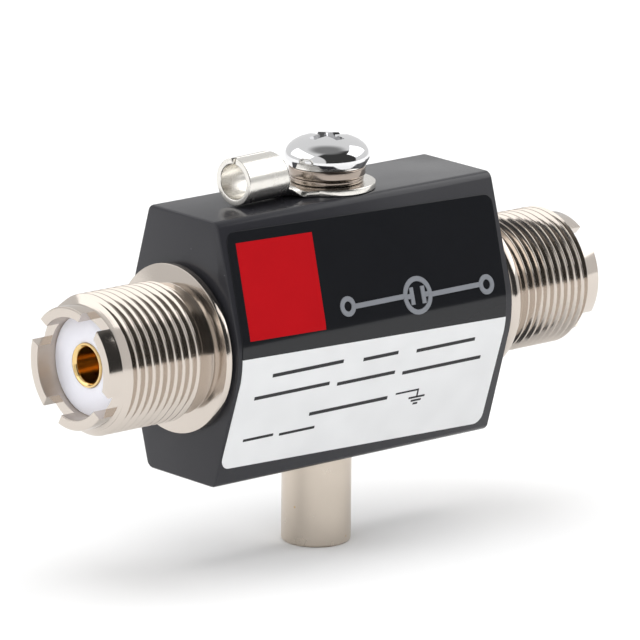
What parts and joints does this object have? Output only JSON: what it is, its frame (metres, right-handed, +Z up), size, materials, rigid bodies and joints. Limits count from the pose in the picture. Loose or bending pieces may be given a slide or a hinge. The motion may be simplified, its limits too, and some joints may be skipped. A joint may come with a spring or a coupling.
{
  "type": "coax lightning arrestor",
  "caption": "In-line coax lightning arrestor: six-sided block with a threaded socket at each end, a gas tube in a screwed cap below and an earth screw with a ring lug on top.",
  "frame": {"origin": "on the surface that the cap stands on, below the middle of the bounding box", "axes": "+X along the coax line to the right, -Y the labelled front, +Z up towards the earth screw"},
  "size_m": [0.0728, 0.02, 0.0472],
  "materials": {
    "black_coating": "satin black coating on aluminium",
    "label_film": "glossy printed film",
    "bright_nickel": "bright nickel plating on turned brass",
    "ptfe": "smooth white PTFE",
    "gold_plate": "gold plating",
    "brass_rod": "turned brass",
    "bright_screw": "bright plating",
    "plated_washer": "nickel plating",
    "tin_plate": "bright tin plating on copper sheet",
    "satin_nickel": "satin nickel plating on turned brass",
    "electrode_metal": "plain metal",
    "tube_ceramic": "unglazed alumina",
    "spring_steel": "drawn wire"
  },
  "bodies": {
    "housing": {"housing": "black_coating", "front_label": "label_film", "left_shell": "bright_nickel", "right_shell": "bright_nickel", "left_insulator": "ptfe", "right_insulator": "ptfe", "left_contact": "gold_plate", "right_contact": "gold_plate", "centre_conductor": "brass_rod"},
    "lug": {"ground_lug": "tin_plate"},
    "washers": {"spring_washer": "plated_washer", "flat_washer": "plated_washer"},
    "screw": {"ground_screw": "bright_screw"},
    "gas_tube": {"gas_tube_upper_electrode": "electrode_metal", "gas_tube_ceramic": "tube_ceramic", "gas_tube_lower_electrode": "electrode_metal", "contact_spring": "spring_steel"},
    "cap": {"gas_tube_cap": "satin_nickel"}
  },
  "joints": [
    {"name": "lug_swivel", "type": "hinge", "parent": "housing", "child": "lug", "pos_m": [0.00075, 0, 0.041], "axis": [0, 0, 1], "continuous": true},
    {"name": "screw_lift", "type": "slide", "parent": "housing", "child": "washers", "axis": [0, 0, 1], "range_m": [0, 0.0048]},
    {"name": "screw_turn", "type": "hinge", "parent": "washers", "child": "screw", "pos_m": [0.00075, 0, 0.041], "axis": [0, 0, 1], "range_deg": [0, 2160]},
    {"name": "cap_drop", "type": "slide", "parent": "housing", "child": "gas_tube", "axis": [0, 0, -1], "range_m": [0, 0.007]},
    {"name": "cap_turn", "type": "hinge", "parent": "gas_tube", "child": "cap", "pos_m": [-0.00035, 0, 0.0106], "axis": [0, 0, -1], "range_deg": [0, 2520]}
  ],
  "couplings": [
    {"joint": "screw_turn", "follows": "screw_lift", "rad_per_m": 7854},
    {"joint": "cap_turn", "follows": "cap_drop", "rad_per_m": 6283.2}
  ]
}
